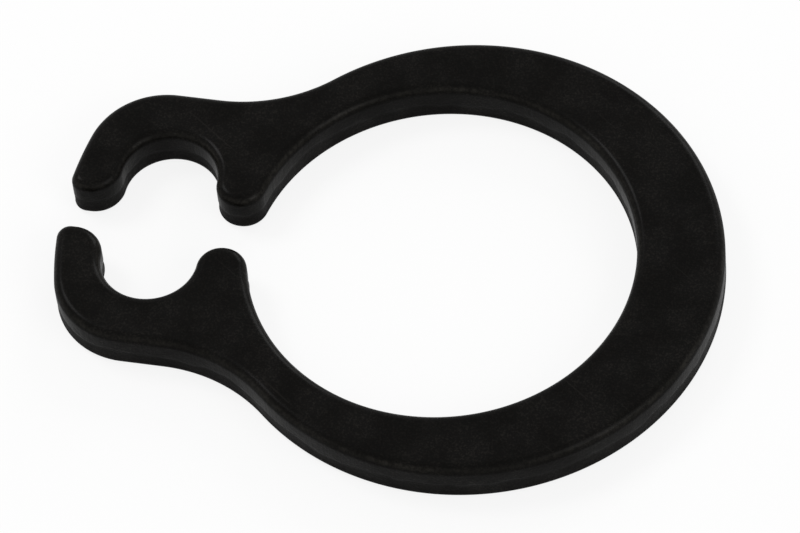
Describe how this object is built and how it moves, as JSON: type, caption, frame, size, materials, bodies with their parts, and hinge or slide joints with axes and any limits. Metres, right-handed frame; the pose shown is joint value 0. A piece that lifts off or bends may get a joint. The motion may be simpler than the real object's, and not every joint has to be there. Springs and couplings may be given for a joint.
{
  "type": "external retaining ring",
  "caption": "Flat external retaining ring for a grooved shaft: an open, tapered spring-steel band that ends in hooked lugs with open plier holes.",
  "frame": {"origin": "centre of the bore, on the lower face", "axes": "+Z through the thickness towards the die-rolled face, +X from the bore's centre towards the widest part of the band, so that the lugs point to -X"},
  "size_m": [0.0097, 0.0074, 0.0007],
  "materials": {
    "phosphated_spring_steel": "phosphated and oiled, near black, satin, with a fine tumbled grain"
  },
  "bodies": {
    "root": {"retaining_ring": "phosphated_spring_steel"}
  },
  "joints": []
}
